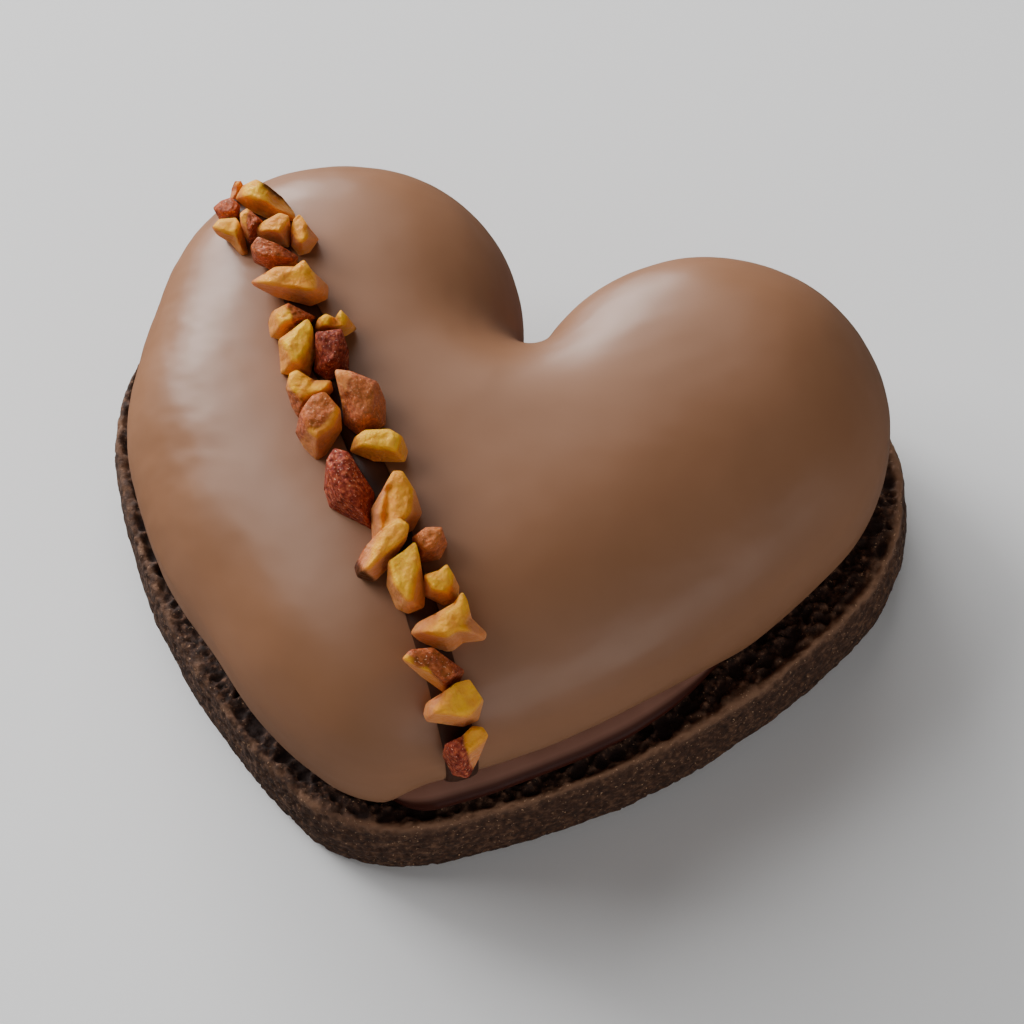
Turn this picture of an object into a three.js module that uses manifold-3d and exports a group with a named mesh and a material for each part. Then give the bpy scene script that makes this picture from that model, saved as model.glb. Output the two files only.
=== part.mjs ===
import * as THREE from 'three';
import { ConvexGeometry } from 'three/addons/geometries/ConvexGeometry.js';
import { ImprovedNoise } from 'three/addons/math/ImprovedNoise.js';
import { mergeVertices } from 'three/addons/utils/BufferGeometryUtils.js';
import loadManifold from 'manifold-3d';

// A heart-shaped filled doughnut. From the bottom up: a slice of dark bread, a layer of chocolate filling
// and a puffed top under milk chocolate, crossed by a line of dark chocolate that holds chopped almonds.
// Millimetres, +Z up, lobes towards +Y, tip towards -Y. It stands on z = 0, centred on its own box.

// Both outlines are arcs: two lobes, a notch between them, a tip and two bowed sides. The top's left side is
// not quite even, so it stands in and out at three places.
const TOP_HEART = {
  rightLobe: [22.3, 1.1], // centres in plan
  leftLobe: [-21.7, -0.2],
  tip: [-1, -39.4],
  rightRadius: 21,
  leftRadius: 21.5,
  tipRadius: 12.9,
  notchRadius: 1.2,
  rightSideRadius: 91,
  leftSideRadius: 56,
  bulges: [[-42.5, -1, -0.7], [-39.5, -21, 1], [-22, -41, -1.2]], // plan point, and how far out
};
const BREAD_HEART = {
  rightLobe: [23.1, 0.8],
  leftLobe: [-22.5, -4.3],
  tip: [-2, -36.2],
  rightRadius: 22.1,
  leftRadius: 24.9,
  tipRadius: 15.8,
  notchRadius: 1.5,
  rightSideRadius: 84,
  leftSideRadius: 83,
  bulges: [],
};
const BULGE_REACH = 8;

const GAP = 0.3; // between pieces that touch
const POINT_SPACING = 2.3; // round an outline
const FINE_SPACING = 0.2; // round the outline that depths are measured from
const LEAST_ARC_POINTS = 4;
const SEAM_TOLERANCE = 0.03;
const MIDDLE = [0, -12.7]; // plan point that the rings close in on

const BREAD = {
  thickness: 10.7,
  lowerRound: 1.6,
  lowerSteps: 4,
  wallSteps: 5,
  rimRound: 0.8,
  rimSteps: 3,
  bulge: 0.4, // crust proud of its outline at half height
  crustUneven: 0.5,
  crustLump: 7, // from lump to lump
  cutRings: [1.5, 2.6, 3.9, 5.4, 7], // where the cut face is pitted, in from the outline
  pitDepth: 1.2,
  pitSize: 2.6, // from pit to pit
};

const FILLING = {
  thickness: 1.6,
  inset: 4.4, // in from the top's outline
  innerRing: 13.2, // also in from it, on the hidden faces
  bulge: 0.5, // round edge
  edgeSteps: 7,
  squeezedThickness: 2.4, // more at the front right, where it is squeezed out
  squeezedOut: 3.1,
};

// The filling shows at the front right. It is squeezed out slowly more along a direction in plan, and quickly
// more to the right of the tip: how far out each starts and is full.
const SQUEEZE = { direction: [0.62, -0.785], start: 37, full: 42.5, tipStart: 1.5, tipFull: 8 };

const TOP = {
  crown: 26.7, // height above the cut underside that the dome tends to
  widest: 11.7, // height of the widest outline above the cut underside
  underCurl: 3.5, // how far the wall curls in below its widest outline
  squeezedCurl: 2.2, // and how much more where the filling shows
  shoulder: 21, // depth inside the outline at which the dome would be level
  roundness: 2, // 2 is an ellipse
  riseBack: 0.0018, // extra share of height for every millimetre towards the lobes
  riseRight: 0.00075, // and to the right
  curlRings: 5,
  domeRings: 15,
  ringCrowding: 2, // rings stand closer near the rim
};

const LINE = {
  from: [-37.3, 10.6],
  to: [10.4, -47.4], // the nearest point of the rim
  bow: 1, // sideways at half length
  wallTurn: 1.1, // how far it follows the curl below the rim, in radians
  crossRadius: 26, // of the top, across the line
  width: 3.5,
  height: 0.7,
  sunk: 0.8,
  step: 2,
  archSteps: 7,
  domeSteps: 40,
  wallSteps: 8,
};

const ALMOND = {
  facets: 11,
  goldenAngle: 2.4,
  jitter: 0.9,
  shave: 0.32, // most that a facet cuts in
  seat: 0.42, // middle above the bed, as a share of the height
  cornerReach: 1.6, // how far corners can stand out, against the ellipsoid
  lean: 0.15, // slope of the pieces beside the line, down to the coating
  leanRange: [1, 3], // from the line's middle, where that starts and is full
  seed: 11,
};

// Almond pieces from the back of the line to the front: millimetres along it and to its right, length, width
// and height, the turn of the length from the line in degrees, and whether brown skin is the side that shows.
const FLESH = 'almond';
const SKIN = 'almondSkin';
const ALMOND_PIECES = [
  [5.5, 0, 3.5, 3, 3, 100, FLESH],
  [10.5, 1, 7.5, 4.5, 4.5, 35, FLESH],
  [8.5, -2.5, 4, 3.5, 3, 80, SKIN],
  [12, -3, 6, 3.5, 3.5, 6, FLESH],
  [13, -1, 5, 3, 3.5, 167, SKIN],
  [15, 1, 5, 4.5, 4, 73, FLESH],
  [17, 3, 6, 3.5, 3.5, 171, FLESH],
  [18.5, -0.5, 6.5, 4.5, 4, 56, SKIN],
  [23, -0.5, 9, 5, 4.5, 51, FLESH],
  [27, -1.5, 6, 4, 4, 74, FLESH],
  [29.5, 2, 5, 3.5, 3.5, 63, FLESH],
  [31, -2.5, 6, 5.5, 4.5, 131, FLESH],
  [33, 0.5, 6.5, 4, 4, 174, SKIN],
  [36, -3, 5.5, 4.5, 4, 64, FLESH],
  [40, 1.5, 8, 5, 4.5, 168, SKIN],
  [41, -3.5, 7, 5.5, 4.5, 167, SKIN],
  [46, 1.5, 6, 3.5, 3.5, 62, FLESH],
  [49.5, -3, 10, 5, 4, 179, SKIN],
  [54, 1, 7, 5, 4.5, 167, FLESH],
  [58, -1.5, 7, 5.5, 4.5, 136, FLESH],
  [59.5, 3, 4, 3.5, 3.5, 43, SKIN],
  [62, 0, 7.5, 4, 4, 154, FLESH],
  [63.5, 2.5, 4.5, 4, 3.5, 13, FLESH],
  [68, 2, 8, 5.5, 4.5, 78, FLESH],
  [71, -0.5, 7.5, 4, 4, 67, SKIN],
  [75, 0.5, 7, 4.5, 4, 96, FLESH],
  [80, 0.5, 6.5, 4.5, 4, 120, SKIN],
];

const FINISHES = {
  bread: { color: '#2b1a12', roughness: 0.92, metalness: 0 },
  filling: { color: '#4d2f26', roughness: 0.25, metalness: 0 },
  milkChocolate: { color: '#84593d', roughness: 0.34, metalness: 0 },
  almond: { color: '#b6742b', roughness: 0.5, metalness: 0 },
  almondSkin: { color: '#7d3d2b', roughness: 0.6, metalness: 0 },
};

const FILLING_FLOOR = BREAD.thickness + GAP;
const TOP_FLOOR = FILLING_FLOOR + FILLING.thickness + GAP;

const flat = (x, y) => new THREE.Vector2(x, y);
const shares = (count) => Array.from({ length: count }, (_, i) => i / (count - 1));
const quarterTurn = (share) => (share * Math.PI) / 2;

// Where two circles meet: of the two points, the one further along the given direction.
function circlesMeet(first, firstRadius, second, secondRadius, direction) {
  const unit = second.clone().sub(first);
  const distance = unit.length();
  unit.divideScalar(distance);
  const along = (firstRadius ** 2 - secondRadius ** 2 + distance ** 2) / (2 * distance);
  const across = Math.sqrt(firstRadius ** 2 - along ** 2);
  const foot = first.clone().addScaledVector(unit, along);
  const meets = [across, -across].map((step) => flat(foot.x - unit.y * step, foot.y + unit.x * step));
  return meets[0].dot(direction) > meets[1].dot(direction) ? meets[0] : meets[1];
}

// The six arcs of a heart, counterclockwise from the notch. Neighbouring arcs are tangent.
function heartArcs(h) {
  const [right, left, tip] = [h.rightLobe, h.leftLobe, h.tip].map((centre) => flat(...centre));
  const notchReach = [h.rightRadius + h.notchRadius, h.leftRadius + h.notchRadius];
  const notch = circlesMeet(right, notchReach[0], left, notchReach[1], flat(0, 1));
  const rightReach = [h.rightSideRadius - h.rightRadius, h.rightSideRadius - h.tipRadius];
  const rightSide = circlesMeet(right, rightReach[0], tip, rightReach[1], flat(-1, 0));
  const leftReach = [h.leftSideRadius - h.leftRadius, h.leftSideRadius - h.tipRadius];
  const leftSide = circlesMeet(left, leftReach[0], tip, leftReach[1], flat(1, 0));
  const heading = (from, to) => Math.atan2(to.y - from.y, to.x - from.x);
  const arc = (centre, radius, from, to, clockwise = false) =>
    new THREE.EllipseCurve(centre.x, centre.y, radius, radius, from, to, clockwise);
  return [
    arc(notch, h.notchRadius, heading(notch, right), heading(notch, left), true),
    arc(left, h.leftRadius, heading(left, notch), heading(leftSide, left)),
    arc(leftSide, h.leftSideRadius, heading(leftSide, left), heading(leftSide, tip)),
    arc(tip, h.tipRadius, heading(leftSide, tip), heading(rightSide, tip)),
    arc(rightSide, h.rightSideRadius, heading(rightSide, tip), heading(rightSide, right)),
    arc(right, h.rightRadius, heading(rightSide, right), heading(right, notch)),
  ];
}

// Points round a heart, each with the outward direction there. Bulges fade over their reach.
function heartOutline(heart, spacing = POINT_SPACING) {
  const bulgeAt = (point) => heart.bulges.reduce((sum, [x, y, out]) =>
    sum + out * Math.exp(-(((point.x - x) ** 2 + (point.y - y) ** 2) / BULGE_REACH ** 2)), 0);
  return heartArcs(heart).flatMap((arc) => {
    const count = Math.max(LEAST_ARC_POINTS, Math.round(arc.getLength() / spacing));
    const points = arc.getPoints(count).slice(0, -1);
    return points.map((point) => {
      const outward = flat(point.x - arc.aX, point.y - arc.aY).normalize();
      if (arc.aClockwise) outward.negate();
      return { point: point.addScaledVector(outward, bulgeAt(point)), outward };
    });
  });
}

const topOutline = heartOutline(TOP_HEART);
const fineOutline = heartOutline(TOP_HEART, FINE_SPACING);
const breadOutline = heartOutline(BREAD_HEART);

// A ring over an outline, grown outwards and lifted. Both amounts may change from point to point.
function ringOver(outline, growAt, heightAt) {
  return outline.map(({ point, outward }, i) => {
    const grow = growAt(i);
    return new THREE.Vector3(point.x + outward.x * grow, point.y + outward.y * grow, heightAt(i));
  });
}

// A closed solid from rings, counterclockwise from above and stacked from the underside out and up.
// A middle point closes each end.
function ringSolid(rings, lowMiddle, highMiddle) {
  const count = rings[0].length;
  const last = rings.length * count + 1;
  const positions = [lowMiddle, ...rings.flat(), highMiddle].flatMap((p) => p.toArray());
  const index = [];
  for (let i = 0; i < count; i++) {
    const next = (i + 1) % count;
    index.push(0, 1 + next, 1 + i);
    for (let r = 0; r < rings.length - 1; r++) {
      const low = 1 + r * count;
      const high = low + count;
      index.push(low + i, low + next, high + next, low + i, high + next, high + i);
    }
    const top = last - count;
    index.push(top + i, top + next, last);
  }
  const geometry = new THREE.BufferGeometry();
  geometry.setAttribute('position', new THREE.Float32BufferAttribute(positions, 3));
  geometry.setIndex(index);
  return geometry;
}

const overMiddle = (z) => new THREE.Vector3(...MIDDLE, z);

// The bread slice: flat below with a rounded edge, an uneven bulging crust, a round rim and a pitted cut face.
function breadGeometry() {
  const noise = new ImprovedNoise();
  const lump = ({ point }, z) => {
    const [x, y, up] = [point.x, point.y, z].map((value) => value / BREAD.crustLump);
    return BREAD.crustUneven * noise.noise(x, y, up);
  };
  const crustRing = (grow, z) => {
    const growAt = (i) => grow + lump(breadOutline[i], z);
    return ringOver(breadOutline, growAt, () => z);
  };
  const lowerEdge = shares(BREAD.lowerSteps).slice(0, -1).map((share) => {
    const turn = quarterTurn(share);
    return crustRing(-BREAD.lowerRound * (1 - Math.sin(turn)), BREAD.lowerRound * (1 - Math.cos(turn)));
  });
  const rimStart = BREAD.thickness - BREAD.rimRound;
  const wall = shares(BREAD.wallSteps).map((share) => {
    const z = BREAD.lowerRound + share * (rimStart - BREAD.lowerRound);
    return crustRing(BREAD.bulge * Math.sin(share * Math.PI), z);
  });
  const rim = shares(BREAD.rimSteps).slice(1).map((share) => {
    const turn = quarterTurn(share);
    return crustRing(-BREAD.rimRound * (1 - Math.cos(turn)), rimStart + BREAD.rimRound * Math.sin(turn));
  });
  const cutFace = BREAD.cutRings.map((inward) => {
    const ring = crustRing(-inward, BREAD.thickness);
    ring.forEach((p) => {
      const pit = 0.5 + 0.5 * noise.noise(p.x / BREAD.pitSize, p.y / BREAD.pitSize, 0.5);
      p.z -= BREAD.pitDepth * pit;
    });
    return ring;
  });
  const hiddenLevel = BREAD.thickness - BREAD.pitDepth / 2;
  return ringSolid([...lowerEdge, ...wall, ...rim, ...cutFace], overMiddle(0), overMiddle(hiddenLevel));
}

// How far the filling is squeezed out beside each point of the top's outline, from 0 to 1.
const squeezed = topOutline.map(({ point }) => {
  const outAlong = point.dot(flat(...SQUEEZE.direction));
  const slow = THREE.MathUtils.smoothstep(outAlong, SQUEEZE.start, SQUEEZE.full);
  return slow * THREE.MathUtils.smoothstep(point.x, SQUEEZE.tipStart, SQUEEZE.tipFull);
});

// The filling: a thin layer under the whole top, with a round edge that swells where it is squeezed out.
function fillingGeometry() {
  const edge = shares(FILLING.edgeSteps).map((share) => {
    const swell = Math.sin(share * Math.PI);
    const growAt = (i) => squeezed[i] * FILLING.squeezedOut * swell + FILLING.bulge * swell - FILLING.inset;
    const heightAt = (i) => {
      const thickness = FILLING.thickness + squeezed[i] * FILLING.squeezedThickness;
      return FILLING_FLOOR + share * thickness;
    };
    return ringOver(topOutline, growAt, heightAt);
  });
  const upperLevel = FILLING_FLOOR + FILLING.thickness;
  const inner = ringOver(topOutline, () => -FILLING.innerRing, () => upperLevel);
  return ringSolid([...edge, inner], overMiddle(FILLING_FLOOR), overMiddle(upperLevel));
}

// Smooth depth inside the top's outline: the distance to it near the rim, with no crease further in.
// It sums length / distance^4 round the outline, which for a straight edge comes to pi / 2 / distance^3.
function depthInside(x, y) {
  const sum = fineOutline.reduce((total, { point }, i) => {
    const next = fineOutline[(i + 1) % fineOutline.length].point;
    const away = Math.hypot(x - (point.x + next.x) / 2, y - (point.y + next.y) / 2);
    return total + point.distanceTo(next) / away ** 4;
  }, 0);
  return (sum / (Math.PI / 2)) ** (-1 / 3);
}

// Height of the dome over a plan point: a rounded rise from the widest outline, leaning a little.
function domeHeight(x, y) {
  const inward = Math.min(depthInside(x, y) / TOP.shoulder, 1);
  const rise = (1 - (1 - inward) ** TOP.roundness) ** (1 / TOP.roundness);
  const lean = 1 + TOP.riseBack * (y - MIDDLE[1]) + TOP.riseRight * x;
  return TOP_FLOOR + TOP.widest + (TOP.crown - TOP.widest) * lean * rise;
}

// The top: a cut underside that rests on the filling, a wall that curls out to the widest outline, and a dome.
function topGeometry() {
  const lip = (i) => TOP_FLOOR + squeezed[i] * FILLING.squeezedThickness;
  const inner = ringOver(topOutline, () => -FILLING.innerRing, () => TOP_FLOOR);
  const curled = shares(TOP.curlRings).map((share) => {
    const turn = quarterTurn(share);
    const growAt = (i) => -(TOP.underCurl + squeezed[i] * TOP.squeezedCurl) * (1 - Math.sin(turn));
    const heightAt = (i) => THREE.MathUtils.lerp(TOP_FLOOR + TOP.widest, lip(i), Math.cos(turn));
    return ringOver(topOutline, growAt, heightAt);
  });
  const dome = shares(TOP.domeRings).slice(1, -1).map((share) => topOutline.map(({ point }) => {
    const spread = 1 - share ** TOP.ringCrowding;
    const x = THREE.MathUtils.lerp(MIDDLE[0], point.x, spread);
    const y = THREE.MathUtils.lerp(MIDDLE[1], point.y, spread);
    return new THREE.Vector3(x, y, domeHeight(x, y));
  }));
  return ringSolid([inner, ...curled, ...dome], overMiddle(TOP_FLOOR), overMiddle(domeHeight(...MIDDLE)));
}

// Outward direction on the dome over a plan point, from its slopes.
function domeOutward(x, y) {
  const nudge = 0.05;
  const slopeX = (domeHeight(x + nudge, y) - domeHeight(x - nudge, y)) / (2 * nudge);
  const slopeY = (domeHeight(x, y + nudge) - domeHeight(x, y - nudge)) / (2 * nudge);
  return new THREE.Vector3(-slopeX, -slopeY, 1).normalize();
}

// The line's route: straight across the dome in plan with a slight bow, then over the rim and down the wall.
// Each point has the outward direction there.
function lineRoute() {
  const from = flat(...LINE.from);
  const gap = ({ point }) => point.distanceTo(flat(...LINE.to));
  const rim = fineOutline.reduce((best, place) => (gap(place) < gap(best) ? place : best));
  const run = rim.point.clone().sub(from);
  const right = flat(-run.y, run.x).normalize();
  const overDome = shares(LINE.domeSteps).slice(0, -1).map((share) => {
    const slowing = 1 - (1 - share) ** 2;
    const plan = from.clone().addScaledVector(run, slowing);
    plan.addScaledVector(right, LINE.bow * Math.sin(slowing * Math.PI));
    const point = new THREE.Vector3(plan.x, plan.y, domeHeight(plan.x, plan.y));
    return { point, outward: domeOutward(plan.x, plan.y) };
  });
  const curl = TOP.underCurl + TOP.squeezedCurl;
  const drop = TOP.widest - FILLING.squeezedThickness;
  const downWall = shares(LINE.wallSteps).map((share) => {
    const turn = share * LINE.wallTurn;
    const inward = curl * (1 - Math.cos(turn));
    const plan = rim.point.clone().addScaledVector(rim.outward, -inward);
    const point = new THREE.Vector3(plan.x, plan.y, TOP_FLOOR + TOP.widest - drop * Math.sin(turn));
    const side = rim.outward.clone().multiplyScalar(drop * Math.cos(turn));
    return { point, outward: new THREE.Vector3(side.x, side.y, -curl * Math.sin(turn)).normalize() };
  });
  return [...overDome, ...downWall];
}

const routePlaces = lineRoute();
const route = new THREE.CatmullRomCurve3(routePlaces.map(({ point }) => point));
const routeLength = route.getLength();

// A frame on the line: the point, outward from the top, and across to the line's right.
function lineFrame(along) {
  const share = Math.min(along / routeLength, 1);
  const place = route.getUtoTmapping(share) * (routePlaces.length - 1);
  const before = Math.min(Math.floor(place), routePlaces.length - 2);
  const outward = routePlaces[before].outward.clone();
  outward.lerp(routePlaces[before + 1].outward, place - before);
  const across = outward.clone().cross(route.getTangentAt(share)).normalize();
  return { point: route.getPointAt(share), outward: outward.normalize(), across };
}

// The dark line: a low round-topped section carried along the route, sunk a little into the top.
function lineGeometry() {
  const half = LINE.width / 2;
  const rings = shares(Math.round(routeLength / LINE.step)).map((share) => {
    const { point, outward, across } = lineFrame(share * routeLength);
    const place = (right, up) => point.clone().addScaledVector(across, right).addScaledVector(outward, up);
    const arch = shares(LINE.archSteps).map((step) => {
      const turn = step * Math.PI;
      return place(half * Math.cos(turn), LINE.height * Math.sin(turn));
    });
    return [place(half, -LINE.sunk), ...arch, place(-half, -LINE.sunk)];
  });
  return ringSolid(rings, lineFrame(0).point, lineFrame(routeLength).point);
}

// Repeatable numbers between 0 and 1.
function seededNumbers(seed) {
  const multiplier = 16807;
  const modulus = 2 ** 31 - 1;
  let state = seed;
  return () => {
    state = (state * multiplier) % modulus;
    return state / modulus;
  };
}

// An almond piece as planes round its middle: chopped facets about an ellipsoid, and the bed that it lies on.
function almondPiece([along, right, length, width, height, turn, finish], random) {
  const { point, outward, across } = lineFrame(along);
  const bed = point.clone().addScaledVector(across, right);
  bed.addScaledVector(outward, -(right ** 2) / (2 * LINE.crossRadius));
  const outer = THREE.MathUtils.smoothstep(Math.abs(right), ...ALMOND.leanRange);
  const slope = right / LINE.crossRadius + ALMOND.lean * outer * Math.sign(right);
  const up = outward.clone().addScaledVector(across, slope).normalize();
  const lift = GAP + LINE.height * (1 - outer / 2);
  const middle = bed.clone().addScaledVector(up, lift + height * ALMOND.seat);
  const long = across.clone().cross(up).normalize();
  long.applyAxisAngle(up, THREE.MathUtils.degToRad(turn));
  const axes = [long, up.clone().cross(long), up];
  const halves = [length / 2, width / 2, height / 2];
  const reach = (direction) => Math.hypot(...axes.map((axis, i) => axis.dot(direction) * halves[i]));
  const facets = Array.from({ length: ALMOND.facets }, (_, k) => {
    const rise = 1 - (2 * k + 1 + ALMOND.jitter * (random() - 0.5)) / ALMOND.facets;
    const bearing = k * ALMOND.goldenAngle + ALMOND.jitter * random();
    const level = Math.sqrt(1 - rise * rise);
    const normal = axes[2].clone().multiplyScalar(rise);
    normal.addScaledVector(axes[0], level * Math.cos(bearing));
    normal.addScaledVector(axes[1], level * Math.sin(bearing));
    const out = reach(normal) * (1 - ALMOND.shave * random());
    return new THREE.Plane(normal, -normal.dot(middle) - out);
  });
  const under = new THREE.Plane(up.clone().negate(), up.dot(bed) + lift);
  return { middle, reach, finish, planes: [...facets, under] };
}

// Neighbouring pieces that would meet are parted by a plane between them, with a gap.
function partNeighbours(pieces) {
  pieces.forEach((piece, i) => pieces.slice(i + 1).forEach((other) => {
    const toOther = other.middle.clone().sub(piece.middle);
    const distance = toOther.length();
    toOther.divideScalar(distance);
    const reach = piece.reach(toOther);
    const otherReach = other.reach(toOther);
    if (ALMOND.cornerReach * (reach + otherReach) + GAP < distance) return;
    const level = toOther.dot(piece.middle) + (distance * reach) / (reach + otherReach);
    piece.planes.push(new THREE.Plane(toOther.clone(), GAP / 2 - level));
    other.planes.push(new THREE.Plane(toOther.clone().negate(), GAP / 2 + level));
  }));
}

// The solid behind all of a piece's planes: the hull of the corners where three of them meet.
function almondGeometry({ planes }) {
  const nearlyParallel = 0.001;
  const tolerance = 1e-6;
  const corners = [];
  planes.forEach((a, i) => planes.slice(i + 1).forEach((b, j) => planes.slice(i + j + 2).forEach((c) => {
    const normals = new THREE.Matrix3();
    normals.set(...a.normal.toArray(), ...b.normal.toArray(), ...c.normal.toArray());
    if (Math.abs(normals.determinant()) < nearlyParallel) return;
    const corner = new THREE.Vector3(-a.constant, -b.constant, -c.constant).applyMatrix3(normals.invert());
    if (planes.every((plane) => plane.distanceToPoint(corner) < tolerance)) corners.push(corner);
  })));
  return new ConvexGeometry(corners);
}

// One solid from two that overlap, without the slivers along their seam.
async function joined(first, second) {
  const wasm = await loadManifold();
  wasm.setup();
  const [a, b] = [first, second].map((geometry) => {
    const merged = mergeVertices(geometry);
    const vertProperties = merged.attributes.position.array;
    const triVerts = new Uint32Array(merged.index.array);
    return new wasm.Manifold(new wasm.Mesh({ numProp: 3, vertProperties, triVerts }));
  });
  const mesh = a.add(b).simplify(SEAM_TOLERANCE).getMesh();
  const geometry = new THREE.BufferGeometry();
  geometry.setAttribute('position', new THREE.BufferAttribute(mesh.vertProperties, 3));
  geometry.setIndex(new THREE.BufferAttribute(mesh.triVerts, 1));
  return geometry;
}

const pieces = new THREE.Group();

function addPiece(name, geometry, finish) {
  const mesh = new THREE.Mesh(geometry, new THREE.MeshStandardMaterial(FINISHES[finish]));
  mesh.name = name;
  pieces.add(mesh);
}

addPiece('bread_base', breadGeometry(), 'bread');
addPiece('chocolate_filling', fillingGeometry(), 'filling');
addPiece('coated_top', await joined(topGeometry(), lineGeometry()), 'milkChocolate');

const random = seededNumbers(ALMOND.seed);
const almonds = ALMOND_PIECES.map((row) => almondPiece(row, random));
partNeighbours(almonds);
almonds.forEach((almond, i) => {
  addPiece(`almond_${String(i + 1).padStart(2, '0')}`, almondGeometry(almond), almond.finish);
});

// Centred on the object's own box, with its underside on z = 0.
const box = new THREE.Box3().setFromObject(pieces);
const centre = box.getCenter(new THREE.Vector3());
pieces.position.set(-centre.x, -centre.y, -box.min.z);

const doughnut = new THREE.Group();
doughnut.name = 'chocolate_doughnut';
doughnut.add(pieces);

export default doughnut;
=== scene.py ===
import math

import bpy
import numpy as np
from mathutils import Matrix, Vector


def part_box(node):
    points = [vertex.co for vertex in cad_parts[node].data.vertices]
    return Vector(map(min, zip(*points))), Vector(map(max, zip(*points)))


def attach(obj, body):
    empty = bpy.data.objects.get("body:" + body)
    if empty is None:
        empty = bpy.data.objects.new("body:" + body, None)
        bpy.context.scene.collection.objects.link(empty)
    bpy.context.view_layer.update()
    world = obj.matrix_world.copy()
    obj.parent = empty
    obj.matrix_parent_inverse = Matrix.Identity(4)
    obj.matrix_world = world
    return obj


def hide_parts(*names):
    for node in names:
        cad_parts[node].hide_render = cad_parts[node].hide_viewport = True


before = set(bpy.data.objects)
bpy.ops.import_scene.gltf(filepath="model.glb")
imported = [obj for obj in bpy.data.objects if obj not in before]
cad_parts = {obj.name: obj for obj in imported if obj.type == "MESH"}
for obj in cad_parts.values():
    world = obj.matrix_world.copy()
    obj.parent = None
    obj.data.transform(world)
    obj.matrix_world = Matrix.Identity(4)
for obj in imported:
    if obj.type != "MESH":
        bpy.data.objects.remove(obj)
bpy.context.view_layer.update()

# Lengths are millimetres in the doughnut's own plan: x across the lobes, y from the tip to the notch, z up.
# Reliefs are pairs of height and size.
topHeart = {
    "rightLobe": (22.3, 1.1),  # centres
    "leftLobe": (-21.7, -0.2),
    "tip": (-1.0, -39.4),
    "rightRadius": 21.0,
    "leftRadius": 21.5,
    "tipRadius": 12.9,
    "notchRadius": 1.2,
    "rightSideRadius": 91.0,
    "leftSideRadius": 56.0,
    "bulges": [(-42.5, -1.0, -0.7), (-39.5, -21.0, 1.0), (-22.0, -41.0, -1.2)],  # place, and how far out
}
breadHeart = {
    "rightLobe": (23.1, 0.8),
    "leftLobe": (-22.5, -4.3),
    "tip": (-2.0, -36.2),
    "rightRadius": 22.1,
    "leftRadius": 24.9,
    "tipRadius": 15.8,
    "notchRadius": 1.5,
    "rightSideRadius": 84.0,
    "leftSideRadius": 83.0,
    "bulges": [],
}
bulgeReach = 8.0
middle = np.array([0.0, -12.7])  # plan point that the rings close in on
flatInset = 13.2  # how far in from the coating's outline the flat middles of coating and filling begin
# Where the filling is squeezed out: slowly more along the direction, and quickly right of the tip.
squeeze = {"direction": np.array([0.62, -0.785]), "range": (37.0, 42.5), "tipRange": (1.5, 8.0)}

cadLow = np.array(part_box("coated_top")[0]) * 1000
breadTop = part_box("bread_base")[1].z * 1000
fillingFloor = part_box("chocolate_filling")[0].z * 1000
topFloor = cadLow[2]


# Smooth step: 0 below low, 1 above high, 3t^2 - 2t^3 between.
def smoothStep(value, low, high):
    share = np.clip((value - low) / (high - low), 0, 1)
    return share * share * (3 - 2 * share)


# A number for each lattice corner: its whole coordinates times large primes, folded together with a salt,
# pick from a table. Another salt gives another pattern.
noiseTable = np.random.default_rng(7).random(4096)


def cornerValue(corner, salt):
    x, y, z = corner[..., 0] * 73856093, corner[..., 1] * 19349663, corner[..., 2] * 83492791
    return noiseTable[(x ^ y ^ z ^ salt * 2654435761) & (len(noiseTable) - 1)]


# Lattice noise, 0 to 1: values at the eight corners of each cell, blended with a smooth step along each axis.
def latticeNoise(points, size, salt=0):
    place = points / size
    cell = np.floor(place).astype(np.int64)
    part = smoothStep(place - cell, 0, 1)
    total = np.zeros(points.shape[:-1])
    for k in range(8):
        step = np.array([k & 1, k >> 1 & 1, k >> 2 & 1])
        weight = np.where(step, part, 1 - part).prod(-1)
        total += weight * cornerValue(cell + step, salt)
    return total


# Rough noise, -1 to 1: octaves of lattice noise, each half the size and half the strength of the last.
def roughNoise(points, size, octaves=3, salt=0):
    total, strength, most = 0.0, 1.0, 0.0
    for octave in range(octaves):
        total = total + strength * (2 * latticeNoise(points, size / 2 ** octave, salt + octave) - 1)
        most += strength
        strength /= 2
    return total / most


# Relief from a pair of height and size: rough noise of that size, times the height.
def relief(pair, points, octaves, salt):
    height, size = pair
    return height * roughNoise(points, size, octaves, salt)


# Cell noise: distance to the nearest of points scattered one to a cell, in cells.
def cellDistance(points, size, salt=0):
    place = points / size
    cell = np.floor(place).astype(np.int64)
    nearest = np.full(points.shape[:-1], np.inf)
    for k in range(27):
        corner = cell + np.array([k % 3 - 1, k // 3 % 3 - 1, k // 9 - 1])
        spot = corner + np.stack([cornerValue(corner, salt + axis) for axis in range(3)], -1)
        nearest = np.minimum(nearest, ((spot - place) ** 2).sum(-1))
    return np.sqrt(nearest)


# Directions brought to length 1.
def unit(vectors):
    return vectors / np.maximum(np.linalg.norm(vectors, axis=-1, keepdims=True), 1e-9)


# Where two circles meet: the foot on the line of centres, then across it, on the side of the given direction.
def circlesMeet(first, firstRadius, second, secondRadius, direction):
    distance = np.linalg.norm(second - first)
    ahead = (second - first) / distance
    along = (firstRadius ** 2 - secondRadius ** 2 + distance ** 2) / (2 * distance)
    across = math.sqrt(firstRadius ** 2 - along ** 2) * np.array([-ahead[1], ahead[0]])
    foot = first + along * ahead
    return foot + across * np.sign(across @ direction)


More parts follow.
